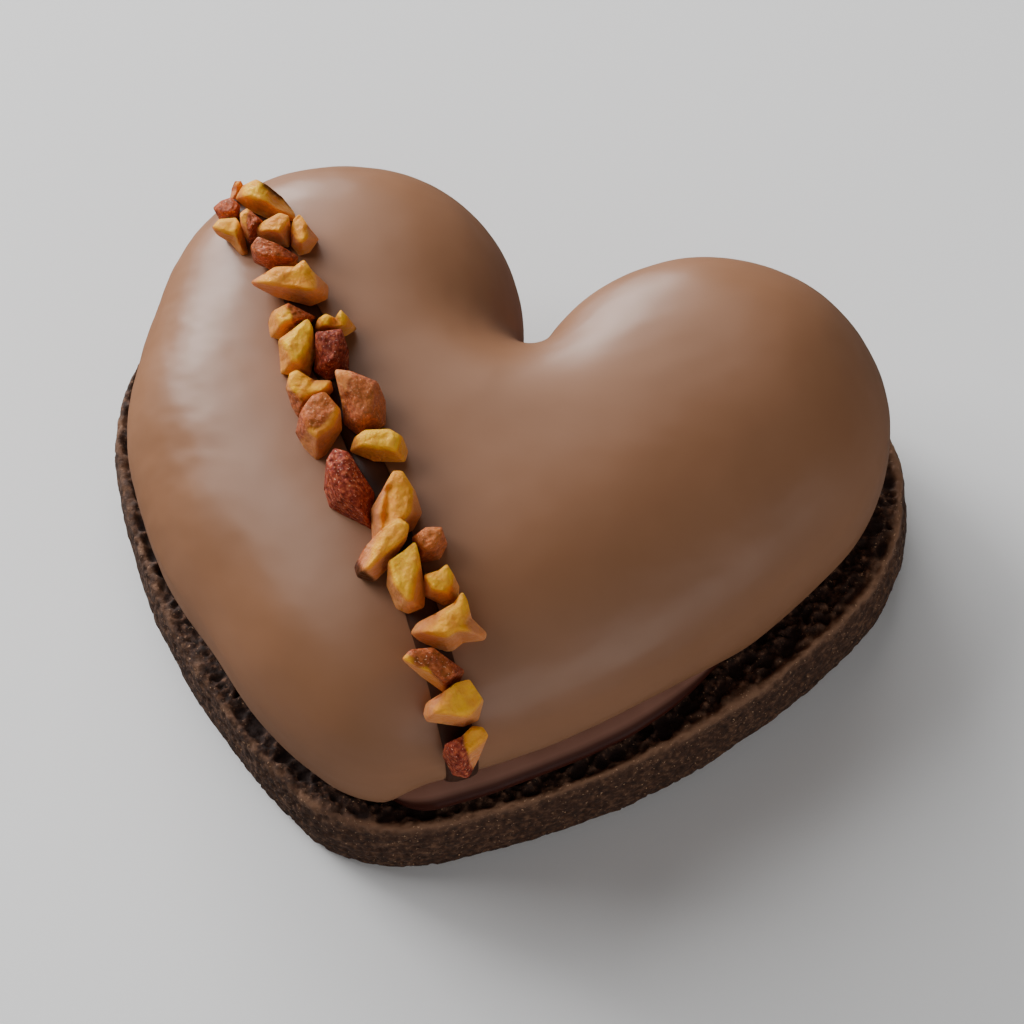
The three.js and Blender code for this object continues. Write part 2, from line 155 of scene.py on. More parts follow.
# A heart's outline, counterclockwise from the notch: six tangent arcs, sampled by length with a least count
# each. Bulges that fade as a bell over their reach move the points out. Gives points and outward directions.
def heartOutline(h, count, leastPerArc=24):
    right, left, tip = (np.array(h[part]) for part in ("rightLobe", "leftLobe", "tip"))
    notchRadius, tipRadius = h["notchRadius"], h["tipRadius"]
    notch = circlesMeet(right, h["rightRadius"] + notchRadius, left, h["leftRadius"] + notchRadius, [0, 1])
    rightSide = circlesMeet(
        right, h["rightSideRadius"] - h["rightRadius"], tip, h["rightSideRadius"] - tipRadius, [-1, 0])
    leftSide = circlesMeet(
        left, h["leftSideRadius"] - h["leftRadius"], tip, h["leftSideRadius"] - tipRadius, [1, 0])
    heading = lambda start, end: math.atan2(end[1] - start[1], end[0] - start[0])
    arcs = [
        (notch, notchRadius, heading(notch, right), heading(notch, left), -1),
        (left, h["leftRadius"], heading(left, notch), heading(leftSide, left), 1),
        (leftSide, h["leftSideRadius"], heading(leftSide, left), heading(leftSide, tip), 1),
        (tip, tipRadius, heading(leftSide, tip), heading(rightSide, tip), 1),
        (rightSide, h["rightSideRadius"], heading(rightSide, tip), heading(rightSide, right), 1),
        (right, h["rightRadius"], heading(rightSide, right), heading(right, notch), 1),
    ]
    sweeps = [turn * ((turn * (end - start)) % (2 * math.pi)) for _, _, start, end, turn in arcs]
    lengths = np.array([abs(sweep) * arc[1] for sweep, arc in zip(sweeps, arcs)])
    counts = np.maximum(np.round(count * lengths / lengths.sum()).astype(int), leastPerArc)
    points, outward = [], []
    for (centre, radius, start, _, turn), sweep, number in zip(arcs, sweeps, counts):
        angle = start + sweep * np.arange(number) / number
        direction = np.stack([np.cos(angle), np.sin(angle)], -1)
        points.append(centre + radius * direction)
        outward.append(turn * direction)
    points, outward = np.concatenate(points), np.concatenate(outward)
    bulge = np.zeros(len(points))
    for x, y, out in h["bulges"]:
        bulge += out * np.exp(-((points - (x, y)) ** 2).sum(1) / bulgeReach ** 2)
    return points + bulge[:, None] * outward, outward


coat = {
    "columns": 700,
    "depthColumns": 240,  # points of the coarser outline that depths are measured from
    "depthLeast": 12,  # on each of its arcs
    "depthNearest": 0.05,
    "crown": 26.7,  # height above the cut underside that the dome tends to
    "widest": 11.7,  # height of the widest outline above the cut underside
    "underCurl": 3.5,  # how far the wall curls in below its widest outline
    "squeezedCurl": 2.2,  # and how much more where the filling shows
    "squeezedLift": 2.4,  # how far the lip is lifted there
    "shoulder": 21.0,  # depth inside the outline at which the dome is level
    "riseBack": 0.0018,  # extra share of height for every millimetre towards the lobes
    "riseRight": 0.00075,  # and to the right
    "lipRound": 0.5,
    "lipRows": 6,
    "curlRows": 22,
    "domeRows": 84,
    "clearShare": 0.01,  # nearer the rim than this share of the way in, the depth goes evenly to nothing
    "swell": (0.28, 17.0),  # slow waves in the coating
    "ripple": (0.08, 5.0),  # quicker waves left by the running chocolate
    "rippleStretch": np.array([1.0, 1.0, 2.2]),
    "wave": (0.17, 3.8),  # fine waves across the left flank
    "waveStretch": np.array([0.5, 1.0, 0.5]),
    "waveRange": (20.0, 31.0),  # how far left they come in
    "waveElsewhere": 0.2,  # share of them on the rest
    "looseRange": (1.0, 6.0),  # heights above the cut underside between which the waves come in
}

coatOutline, coatOutward = heartOutline(topHeart, coat["columns"])
planOrigin = np.array([*(cadLow[:2] - coatOutline.min(0)), 0.0])
squeezed = smoothStep(coatOutline @ squeeze["direction"], *squeeze["range"])
squeezed = squeezed * smoothStep(coatOutline[:, 0], *squeeze["tipRange"])
depthOutline = heartOutline(topHeart, coat["depthColumns"], coat["depthLeast"])[0]


# Smooth depth inside the coat's outline: the sum over its edges of the integral of 1 / distance^4, which for
# a long straight edge is pi / 2 / depth^3. Along an edge at height h the integral from s is
# s / (2 h^2 (h^2 + s^2)) + atan(s / h) / (2 h^3).
def depthInside(plan):
    total = np.zeros(plan.shape[:-1])
    for start, end in zip(depthOutline, np.roll(depthOutline, -1, 0)):
        edge = end - start
        length = np.linalg.norm(edge)
        edge = edge / length
        away = plan - start
        along = away @ edge
        height2 = np.maximum((away ** 2).sum(-1) - along ** 2, coat["depthNearest"] ** 2)
        height = np.sqrt(height2)
        for s, sign in ((length - along, 1), (-along, -1)):
            near = s / (2 * height2 * (height2 + s * s))
            total += sign * (near + np.arctan(s / height) / (2 * height ** 3))
    return (total / (math.pi / 2)) ** (-1 / 3)


# Height of the dome over a plan point: a quarter ellipse of the depth, leaning a little.
def domeHeight(plan, depth=None):
    inward = np.minimum((depthInside(plan) if depth is None else depth) / coat["shoulder"], 1)
    rise = np.sqrt(1 - (1 - inward) ** 2)
    lean = 1 + coat["riseBack"] * (plan[..., 1] - middle[1]) + coat["riseRight"] * plan[..., 0]
    return topFloor + coat["widest"] + (coat["crown"] - coat["widest"]) * lean * rise


# Outward direction on the dome, from its slopes over a short step each way.
def domeOutward(plan, step=0.05):
    across, ahead = np.array([step, 0]), np.array([0, step])
    slopeX = (domeHeight(plan + across) - domeHeight(plan - across)) / (2 * step)
    slopeY = (domeHeight(plan + ahead) - domeHeight(plan - ahead)) / (2 * step)
    return unit(np.stack([-slopeX, -slopeY, np.ones_like(slopeX)], -1))


# Rows of points over an outline: each row grown outwards and lifted, as two-dimensional arrays.
def rowsOver(outline, outward, grow, height):
    shape = (len(grow), len(outline))
    grow, height = np.broadcast_to(grow, shape), np.broadcast_to(height, shape)
    plan = outline[None] + outward[None] * grow[..., None]
    return np.concatenate([plan, height[..., None]], -1)


# Outward directions of a closed grid: the cross product of its steps round and up, which differences give.
def gridOutward(grid):
    around = np.roll(grid, -1, 1) - np.roll(grid, 1, 1)
    upward = np.gradient(grid, axis=0)
    return unit(np.cross(around, upward))


# A mesh from rows that close on themselves: quads between rows, and a fan to a middle point at each end.
def closedMesh(name, grid, lowMiddle, highMiddle):
    rows, columns = grid.shape[:2]
    points = np.concatenate([grid.reshape(-1, 3), [lowMiddle, highMiddle]])
    column = np.arange(columns)
    following = np.roll(column, -1)
    first = np.arange(rows - 1)[:, None] * columns
    above = first + columns
    quads = np.stack([first + column, first + following, above + following, above + column], -1)
    low = np.stack([following, column, np.full(columns, rows * columns)], -1)
    last = (rows - 1) * columns
    high = np.stack([last + column, last + following, np.full(columns, rows * columns + 1)], -1)
    return addMesh(name, points, quads.reshape(-1, 4), np.concatenate([low, high]))


# A new object in the scene.
def addObject(name, data):
    item = bpy.data.objects.new(name, data)
    bpy.context.scene.collection.objects.link(item)
    return item


# Puts points, quads and triangles into a smooth mesh object at the origin, moved to the frame and to metres.
def addMesh(name, points, quads, triangles):
    mesh = bpy.data.meshes.new(name)
    placed = (points + planOrigin) / 1000
    corners = np.concatenate([quads.ravel(), triangles.ravel()]).astype(np.int32)
    sizes = np.concatenate([np.full(len(quads), 4), np.full(len(triangles), 3)])
    starts = np.concatenate([[0], np.cumsum(sizes)[:-1]]).astype(np.int32)
    mesh.vertices.add(len(placed))
    mesh.vertices.foreach_set("co", placed.astype(np.float32).ravel())
    mesh.loops.add(len(corners))
    mesh.loops.foreach_set("vertex_index", corners)
    mesh.polygons.add(len(sizes))
    mesh.polygons.foreach_set("loop_start", starts)
    mesh.update(calc_edges=True)
    mesh.polygons.foreach_set("use_smooth", np.ones(len(sizes), bool))
    mesh.validate()
    return addObject(name, mesh)


# A number for every vertex that a material can read.
def addAttribute(piece, name, values):
    attribute = piece.data.attributes.new(name, "FLOAT", "POINT")
    attribute.data.foreach_set("value", np.asarray(values, np.float32).ravel())


# Puts a piece on the root body, gives it its finish and hides the nodes that it stands for.
def handOver(piece, nodes, material):
    piece.data.materials.append(material)
    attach(piece, "root")
    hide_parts(*nodes)


# Linear colour from the 0 to 255 values of a screen colour.
def screenColour(red, green, blue):
    share = np.array([red, green, blue]) / 255
    linear = np.where(share <= 0.04045, share / 12.92, ((share + 0.055) / 1.055) ** 2.4)
    return (*linear.tolist(), 1.0)


# A new material: its node tree and its shader, with the plain values set on the shader's own sockets.
def newMaterial(name, **values):
    material = bpy.data.materials.new(name)
    material.use_nodes = True
    shader = material.node_tree.nodes["Principled BSDF"]
    for socket, value in values.items():
        shader.inputs[socket].default_value = value
    return material, material.node_tree, shader


# A node of this kind, with plain values set on its sockets.
def addNode(tree, kind, **values):
    node = tree.nodes.new(kind)
    for socket, value in values.items():
        node.inputs[socket].default_value = value
    return node


# Noise in the piece's own place: Object coordinates in metres, so the scale is waves in a metre.
def noiseNode(tree, sizeMm, detail):
    noise = addNode(tree, "ShaderNodeTexNoise", Scale=1000 / sizeMm, Detail=detail)
    tree.links.new(tree.nodes.new("ShaderNodeTexCoord").outputs["Object"], noise.inputs["Vector"])
    return noise.outputs["Fac"]


# A ramp of screen colours over a 0 to 1 value.
def rampNode(tree, value, stops):
    ramp = tree.nodes.new("ShaderNodeValToRGB")
    elements = ramp.color_ramp.elements
    while len(elements) < len(stops):
        elements.new(0.5)
    for element, (position, colour) in zip(elements, stops):
        element.position = position
        element.color = screenColour(*colour)
    tree.links.new(value, ramp.inputs["Fac"])
    return ramp.outputs["Color"]


# Two colours mixed by a value.
def mixNode(tree, value, first, second, blend="MIX"):
    mix = tree.nodes.new("ShaderNodeMix")
    mix.data_type = "RGBA"
    mix.blend_type = blend
    for socket, source in (("Factor", value), ("A", first), ("B", second)):
        if isinstance(source, (tuple, float)):
            mix.inputs[socket].default_value = source
        else:
            tree.links.new(source, mix.inputs[socket])
    return mix.outputs["Result"]


# A vertex's number, read by name.
def attributeNode(tree, name):
    node = tree.nodes.new("ShaderNodeAttribute")
    node.attribute_name = name
    return node.outputs["Fac"]


# A value brought from one range to another.
def rangeNode(tree, value, low, high, newLow=0.0, newHigh=1.0):
    node = addNode(tree, "ShaderNodeMapRange", **{
        "From Min": low, "From Max": high, "To Min": newLow, "To Max": newHigh})
    tree.links.new(value, node.inputs["Value"])
    return node.outputs["Result"]


cloudRange = (0.3, 0.7)  # noise between these is spread over a whole range


# Links a colour to the shader, then what the looks have of a wandering roughness and of fine relief.
def dress(tree, shader, looks, colour):
    tree.links.new(colour, shader.inputs["Base Color"])
    if "dull" in looks:
        dull = rangeNode(tree, noiseNode(tree, *looks["dull"]), *cloudRange, *looks["roughness"])
        tree.links.new(dull, shader.inputs["Roughness"])
    if "grain" in looks:
        bump = addNode(tree, "ShaderNodeBump", Strength=1.0, Distance=looks["grainHeight"] / 1000)
        tree.links.new(noiseNode(tree, *looks["grain"]), bump.inputs["Height"])
        tree.links.new(bump.outputs["Normal"], shader.inputs["Normal"])


# Noises are a size in millimetres and a detail, here and below. Heights are millimetres.
chocolates = {
    "milkChocolate": {  # satin
        "sheen": 0.38, "clouds": (14, 4), "colours": [(138, 95, 66), (145, 101, 72)],
        "dull": (9, 3), "roughness": (0.35, 0.44), "grain": (1.1, 2), "grainHeight": 0.006},
    "darkChocolate": {  # the line under the almonds
        "sheen": 0.12, "clouds": (4, 3), "colours": [(60, 36, 25), (74, 46, 33)],
        "dull": (2, 3), "roughness": (0.3, 0.42)},
    "softFilling": {  # painted sheen: grey-brown on its upper side; painted shade: dark and red below
        "sheen": 0.1, "clouds": (5, 3), "colours": [(142, 101, 85), (154, 111, 95)], "low": (60, 25, 16),
        "dull": (3, 2), "roughness": (0.34, 0.44)},
}


# A chocolate: clouds of two near colours, and painted shade low down where it has one.
def chocolate(name):
    looks = chocolates[name]
    material, tree, shader = newMaterial(name, **{"Specular IOR Level": looks["sheen"]})
    clouds = rangeNode(tree, noiseNode(tree, *looks["clouds"]), *cloudRange)
    colour = mixNode(tree, clouds, *(screenColour(*shade) for shade in looks["colours"]))
    # Painted shade low down.
    if "low" in looks:
        colour = mixNode(tree, attributeNode(tree, "low"), colour, screenColour(*looks["low"]))
    dress(tree, shader, looks, colour)
    return material


breadLooks = {
    "crumbs": (0.7, 5),
    "crust": [(0.30, (40, 23, 14)), (0.52, (66, 41, 27)), (0.70, (98, 68, 48))],
    "cut": [(0.36, (30, 16, 10)), (0.54, (58, 35, 24)), (0.72, (112, 78, 58))],
    # pale rim, partly a painted highlight on its round edge
    "rim": (118, 85, 63),
    "specks": (0.33, 2),
    "speckRange": (0.66, 0.74),
    "speck": (160, 124, 94),
    # painted shade in the deep pits
    "pit": (34, 17, 11),
    "paintedFrontLight": (1.5, 1.5, 1.5, 1.0),  # painted light: times the colour where the crumb is painted lighter towards the front right
    "grain": (0.28, 3),
    "grainHeight": 0.12,
}


# Cocoa bread: crust and cut crumb in their own colours, a pale rim between them that is partly a painted
# highlight, pale specks, painted shade in the pits, and painted light that makes it lighter towards the front
# right.
def cocoaBread():
    looks = breadLooks
    material, tree, shader = newMaterial("cocoaBread", Roughness=0.85, IOR=1.4)
    crust, cut = (rampNode(tree, noiseNode(tree, *looks["crumbs"]), looks[face]) for face in ("crust", "cut"))
    colour = mixNode(tree, attributeNode(tree, "cut"), crust, cut)
    # Pale rim, partly a painted highlight.
    colour = mixNode(tree, attributeNode(tree, "edge"), colour, screenColour(*looks["rim"]))
    specks = rangeNode(tree, noiseNode(tree, *looks["specks"]), *looks["speckRange"])
    colour = mixNode(tree, specks, colour, screenColour(*looks["speck"]))
    # Painted shade in the pits.
    colour = mixNode(tree, attributeNode(tree, "pit"), colour, screenColour(*looks["pit"]))
    # Painted light: lighter towards the front right.
    colour = mixNode(tree, attributeNode(tree, "front"), colour, looks["paintedFrontLight"], "MULTIPLY")
    dress(tree, shader, looks, colour)
    return material


almondLooks = {
    "flesh": [(0.0, (246, 188, 44)), (0.4, (234, 160, 44)), (1.0, (210, 134, 88))],  # by toast, which also carries the painted shade of the side faces
    "clouds": (1.6, 4),
    "cloudRange": (0.4, 0.68),
    "cloud": (210, 126, 58),
    "cloudShare": 0.65,
    "streaks": (0.5, 4),
    "skin": [(0.34, (104, 38, 28)), (0.52, (148, 62, 44)), (0.70, (192, 102, 68))],
    # painted glints: pale specks on the skin
    "paintedGlintNoise": (0.24, 1),
    "paintedGlintRange": (0.66, 0.74, 0.0, 0.7),
    "paintedGlint": (240, 190, 156),
    "char": (48, 20, 12),
    "dull": (0.8, 3),
    "roughness": (0.3, 0.5),
    "grain": (0.6, 6),
    "grainHeight": 0.26,
}


# Roasted almond: amber flesh, browner where it is toasted and where shade is painted on its side faces,
# red-brown streaked skin with painted glints, and char.
def roastedAlmond():
    looks = almondLooks
    material, tree, shader = newMaterial(
        "roastedAlmond", IOR=1.48,
        **{"Subsurface Weight": 0.25, "Subsurface Scale": 0.001, "Subsurface Radius": (1.0, 0.4, 0.1),
           "Specular IOR Level": 0.07})
    flesh = rampNode(tree, attributeNode(tree, "toast"), looks["flesh"])
    cloud = rangeNode(tree, noiseNode(tree, *looks["clouds"]), *looks["cloudRange"])
    clouded = mixNode(tree, looks["cloudShare"], flesh, screenColour(*looks["cloud"]))
    flesh = mixNode(tree, cloud, flesh, clouded)
    skin = rampNode(tree, noiseNode(tree, *looks["streaks"]), looks["skin"])
    # Painted glints on the skin.
    paintedGlint = rangeNode(tree, noiseNode(tree, *looks["paintedGlintNoise"]), *looks["paintedGlintRange"])
    skin = mixNode(tree, paintedGlint, skin, screenColour(*looks["paintedGlint"]))
    colour = mixNode(tree, attributeNode(tree, "skin"), flesh, skin)
    colour = mixNode(tree, attributeNode(tree, "char"), colour, screenColour(*looks["char"]))
    dress(tree, shader, looks, colour)
    return material


# The coated top: an underside, a round lip, a wall that curls out to the widest outline in a quarter ellipse,
# then the dome over rings that close in on the middle. Slow noise moves it along its own outward direction.
def makeCoat():
    lip = topFloor + squeezed * coat["squeezedLift"]
    curl = coat["underCurl"] + squeezed * coat["squeezedCurl"]
    rimHeight = topFloor + coat["widest"]
    hidden = rowsOver(coatOutline, coatOutward, np.array([[-flatInset]]), np.full((1, 1), topFloor))
    roundTurn = np.linspace(0, math.pi / 2, coat["lipRows"])[:, None]
    lipIn = -curl[None] - coat["lipRound"] * np.cos(roundTurn)
    lipUp = np.broadcast_to(lip, lipIn.shape)
    turn = np.linspace(0, math.pi / 2, coat["curlRows"])[:, None]
    wallIn = -curl[None] * (1 - np.sin(turn))
    wallUp = rimHeight + (lip[None] - rimHeight) * np.cos(turn)
    underIn, underUp = np.concatenate([lipIn[:-1], wallIn]), np.concatenate([lipUp[:-1], wallUp])
    under = rowsOver(coatOutline, coatOutward, underIn, underUp)
    share = (np.arange(1, coat["domeRows"]) / coat["domeRows"]) ** 2
    ringsOf = lambda shares: middle + (coatOutline[None] - middle) * (1 - shares)[:, None, None]
    plan, clear = ringsOf(share), np.maximum(share, coat["clearShare"])
    depth = depthInside(ringsOf(clear)) * (share / clear)[:, None]
    dome = np.concatenate([plan, domeHeight(plan, depth)[..., None]], -1)
    grid = np.concatenate([hidden, under, dome])
    flank = np.maximum(smoothStep(-grid[..., 0], *coat["waveRange"]), coat["waveElsewhere"])
    moved = relief(coat["swell"], grid, 2, 3)
    moved = moved + relief(coat["ripple"], grid * coat["rippleStretch"], 2, 9)
    moved = moved + relief(coat["wave"], grid * coat["waveStretch"], 3, 13) * flank
    moved = moved * smoothStep(grid[..., 2] - topFloor, *coat["looseRange"])
    grid = grid + gridOutward(grid) * moved[..., None]
    crown = np.array([*middle, grid[-1, :, 2].mean()])
    piece = closedMesh("coating", grid, np.array([*middle, topFloor]), crown)
    handOver(piece, ["coated_top"], chocolate("milkChocolate"))
    print("coating:", len(piece.data.polygons), "faces")
    return grid.reshape(-1, 3), gridOutward(grid).reshape(-1, 3)


line = {
    "start": np.array([-37.3, 10.6]),
    "end": np.array([10.4, -47.4]),  # the nearest point of the rim
    "bow": 1.0,  # sideways at half length
    "wallTurn": 1.1,  # how far it follows the curl below the rim, in radians
    "width": 3.5,
    "height": 0.7,
    "sunk": 0.9,
    "uneven": (0.35, 5.0),  # in and out along its edges
    "lump": (0.25, 6.0),  # higher and lower, as a share
    "archPower": 0.8,
    "endShare": 0.04,  # of half the length, over which each end is round
    "endLeast": 0.02,
    "endSunk": 0.4,
    "rows": 300,
    "domeRows": 160,
    "wallRows": 50,
    "archPoints": 15,
}


# The line's route: straight across the dome in plan with a slight bow, over the rim, then down the curl of
# the wall. Gives points and outward directions, spaced evenly by length.
def lineRoute():
    nearest = np.argmin(np.linalg.norm(coatOutline - line["end"], axis=1))
    rim, rimOutward = coatOutline[nearest], coatOutward[nearest]
    run = rim - line["start"]
    side = np.array([-run[1], run[0]]) / np.linalg.norm(run)
    share = 1 - (1 - np.linspace(0, 1, line["domeRows"])[:-1]) ** 2
    plan = line["start"] + share[:, None] * run + (line["bow"] * np.sin(share * math.pi))[:, None] * side
    dome = np.concatenate([plan, domeHeight(plan)[:, None]], -1)
    turn = np.linspace(0, line["wallTurn"], line["wallRows"])[:, None]
    curl = coat["underCurl"] + coat["squeezedCurl"]
    drop = coat["widest"] - coat["squeezedLift"]
    wallPlan = rim - curl * (1 - np.cos(turn)) * rimOutward
    wall = np.concatenate([wallPlan, topFloor + coat["widest"] - drop * np.sin(turn)], -1)
    wallOutward = np.concatenate([rimOutward * drop * np.cos(turn), -curl * np.sin(turn)], -1)
    points = np.concatenate([dome, wall])
    outward = np.concatenate([domeOutward(plan), unit(wallOutward)])
    length = np.concatenate([[0], np.cumsum(np.linalg.norm(np.diff(points, axis=0), axis=1))])
    even = np.linspace(0, length[-1], line["rows"])
    evenly = lambda values: np.stack([np.interp(even, length, values[:, axis]) for axis in range(3)], -1)
    return evenly(points), evenly(outward)


# The dark line: a low arch carried along the route, narrower towards its round ends.
def makeLine():
    points, outward = lineRoute()
    across = unit(np.cross(outward, np.gradient(points, axis=0)))
    outward = unit(outward)
    share = np.linspace(0, 1, line["rows"])
    pastBody = (np.abs(2 * share - 1) - (1 - line["endShare"])).clip(0) / line["endShare"]
    ends = np.sqrt(np.clip(1 - pastBody ** 2, line["endLeast"], 1))
    half = ends * (line["width"] / 2 + relief(line["uneven"], points, 2, 21))
    turn = np.linspace(0, math.pi, line["archPoints"])
    right = np.concatenate([[1], np.cos(turn), [-1]])
    arch = line["height"] * np.sin(turn) ** line["archPower"]
    up = np.concatenate([[-line["sunk"]], arch, [-line["sunk"]]])
    lump = 1 + relief(line["lump"], points, 2, 25)
    raised = np.where(up > 0, up, 0)[None] * (lump * ends)[:, None] + np.where(up > 0, 0, up)[None]
    grid = points[:, None] + across[:, None] * (half[:, None] * right)[..., None]
    grid = grid + outward[:, None] * raised[..., None]
    first, last = points[[0, -1]] - outward[[0, -1]] * line["endSunk"]
    piece = closedMesh("darkLine", grid, first, last)
    handOver(piece, ["coated_top"], chocolate("darkChocolate"))
    print("dark line:", len(piece.data.polygons), "faces")


filling = {
    "thickness": 1.6,
    "inset": 4.4,  # in from the coating's outline
    "bulge": 0.5,
    "squeezedThickness": 2.4,
    "squeezedOut": 3.1,
    "edgePower": 0.7,  # under 1, the edge is blunter than a sine
    "uneven": (0.25, 8.0),
    "shadeToSheenRange": (0.68, 0.82),  # shares of its height between which the painted shade gives way to the painted sheen
    "rows": 22,
}


# The filling: a layer with a round edge, sin-shaped, that swells where it is squeezed out.
def makeFilling():
    share = np.linspace(0, 1, filling["rows"])[:, None]
    swell = np.sin(share * math.pi) ** filling["edgePower"]
    waves = np.concatenate([coatOutline, np.zeros((len(coatOutline), 1))], -1)
    uneven = squeezed * relief(filling["uneven"], waves, 2, 31)
    grow = (squeezed * filling["squeezedOut"] + filling["bulge"] + uneven) * swell - filling["inset"]
    height = fillingFloor + share * (filling["thickness"] + squeezed * filling["squeezedThickness"])
    edge = rowsOver(coatOutline, coatOutward, grow, height)
    upper = fillingFloor + filling["thickness"]
    inner = rowsOver(coatOutline, coatOutward, np.array([[-flatInset]]), np.full((1, 1), upper))
    grid = np.concatenate([edge, inner])
    piece = closedMesh("fillingLayer", grid, np.array([*middle, fillingFloor]), np.array([*middle, upper]))
    # Painted shade on the lower part of the edge, with painted sheen above it.
    low = 1 - smoothStep(np.append(share, 1), *filling["shadeToSheenRange"])
    addAttribute(piece, "low", np.append(np.repeat(low, len(coatOutline)), [1, 0]))
    handOver(piece, ["chocolate_filling"], chocolate("softFilling"))
    print("filling:", len(piece.data.polygons), "faces")


bread = {
    "columns": 1000,
    "lowRows": 7,
    "wallRows": 32,
    "rimRows": 8,
    "ledgeRows": 40,
    "lowerRound": 1.6,
    "rimRound": 0.9,
    "bulge": 0.4,  # crust proud of its outline at half height
    "ledge": 11.0,  # cut face that is made with pits, in from the outline
    "sunk": 0.8,  # hidden middle of the cut face, under its height
    "lump": (0.4, 7.0),
    "grain": (0.16, 0.9),
    "pitSizes": (2.3, 1.3, 0.8),
    "pitDepths": (0.95, 0.65, 0.4),
    "pitReach": 0.62,  # share of a cell that a pit takes, from its middle
    "pitSlope": 0.3,  # share over which it gets its full depth
    "pitGroup": 2.5,  # cells across a patch with or without pits
    "pitLeast": 0.36,  # noise over which a patch has pits
    "wander": (0.7, 1.5),  # how far the pits stray from round
    "crustPit": 0.22,
    "crustPitSize": 1.1,
    "crustPitReach": 0.45,
    "crustPitSlope": 0.2,
    "ragged": (0.42, 1.1),  # torn crumb on the cut face
    "looseRange": (0.05, 1.2),  # heights between which relief comes in, so that it stands flat
    "cutRange": (-0.2, 1.2),  # millimetres past the middle of the rim
    "rimHighlightWidth": 1.0,  # pale crumb along the rim, partly a painted highlight on its round edge
    "rimHighlightSize": 1.6,
    "rimHighlightRange": (-0.2, 0.5),  # noise between which it comes
    "pitShadeRange": (0.15, 1.0),  # depths between which painted shade darkens the pits
    "paintedLightWay": np.array([0.9, -0.43]),  # painted light: the crumb is painted lighter this way
    "paintedLightRange": (13.0, 27.0),
    "paintedLightRim": 0.75,  # least share of the pale rim there, painted light
    "paintedLightCrust": 0.25,  # share of the painted light that the crust gets
}


# The bread slice: one section (flat underside, round lower edge, bulging crust, round rim, cut face) carried
# round the outline. Noise lumps and grains the crust, and cells sunk from their middles pit the cut face.
def makeBread():
    outline, outward = heartOutline(breadHeart, bread["columns"])
    lowTurn = np.linspace(-math.pi / 2, 0, bread["lowRows"])[:-1]
    rimStart = breadTop - bread["rimRound"]
    wall = np.linspace(0, 1, bread["wallRows"])
    rimTurn = np.linspace(0, math.pi / 2, bread["rimRows"])[1:]
    ledge = np.linspace(bread["rimRound"], bread["ledge"], bread["ledgeRows"])[1:]
    grow = np.concatenate([
        bread["lowerRound"] * (np.cos(lowTurn) - 1), bread["bulge"] * np.sin(wall * math.pi),
        bread["rimRound"] * (np.cos(rimTurn) - 1), -ledge])
    height = np.concatenate([
        bread["lowerRound"] * (1 + np.sin(lowTurn)),
        bread["lowerRound"] + wall * (rimStart - bread["lowerRound"]),
        rimStart + bread["rimRound"] * np.sin(rimTurn), np.full(len(ledge), breadTop)])
    grid = rowsOver(outline, outward, grow[:, None], height[:, None])
    normal = gridOutward(grid)
    along = np.concatenate([[0], np.cumsum(np.hypot(np.diff(grow), np.diff(height)))])
    pastRim = along - along[len(lowTurn) + len(wall) + len(rimTurn) // 2]
    cut = smoothStep(pastRim, *bread["cutRange"])[:, None] * np.ones(len(outline))
    # Painted light: how far towards the front right, where the crumb is painted lighter.
    front = smoothStep(grid[..., :2] @ bread["paintedLightWay"], *bread["paintedLightRange"])
    # The pale rim, partly a painted highlight on its round edge, and painted lighter still towards the front
    # right.
    bell = np.exp(-(pastRim / bread["rimHighlightWidth"]) ** 2)[:, None]
    rim = smoothStep(roughNoise(grid, bread["rimHighlightSize"], 3, 61), *bread["rimHighlightRange"])
    edge = bell * np.maximum(rim, bread["paintedLightRim"] * front)
    lump = relief(bread["lump"], grid, 2, 41)
    grain = relief(bread["grain"], grid, 3, 45)
    pit = np.zeros(grid.shape[:2])
    strayed = grid + np.stack([relief(bread["wander"], grid, 2, 101 + 7 * axis) for axis in range(3)], -1)
    for number, (size, depth) in enumerate(zip(bread["pitSizes"], bread["pitDepths"])):
        inPit = bread["pitReach"] - cellDistance(strayed, size, 51 + 5 * number)
        pitted = latticeNoise(grid, bread["pitGroup"] * size, 71 + number) > bread["pitLeast"]
        pit = np.maximum(pit, depth * smoothStep(inPit, 0, bread["pitSlope"]) * pitted)
    inPit = bread["crustPitReach"] - cellDistance(grid, bread["crustPitSize"], 81)
    crustPit = bread["crustPit"] * smoothStep(inPit, 0, bread["crustPitSlope"])
    ragged = relief(bread["ragged"], grid, 3, 91) * cut
    moved = lump + grain - pit * cut - crustPit * (1 - cut) + ragged
    moved *= smoothStep(grid[..., 2], *bread["looseRange"])
    grid = grid + normal * moved[..., None]
    grid[..., 2] = np.maximum(grid[..., 2], 0)
    inside = breadTop - bread["sunk"]
    piece = closedMesh("breadSlice", grid, np.array([*middle, 0]), np.array([*middle, inside]))
    # Painted light: the colour is painted lighter towards the front right, on the crust only in part.
    paintedFrontLight = front * np.maximum(np.maximum(cut, bell), bread["paintedLightCrust"])
    # Painted shade: the deeper pits of the cut face get dark.
    dark = smoothStep(pit * cut, *bread["pitShadeRange"])
    for name, values in {"cut": cut, "edge": edge, "front": paintedFrontLight, "pit": dark}.items():
        addAttribute(piece, name, np.append(values, [0, 0]))
    handOver(piece, ["bread_base"], cocoaBread())
    print("bread:", len(piece.data.polygons), "faces")


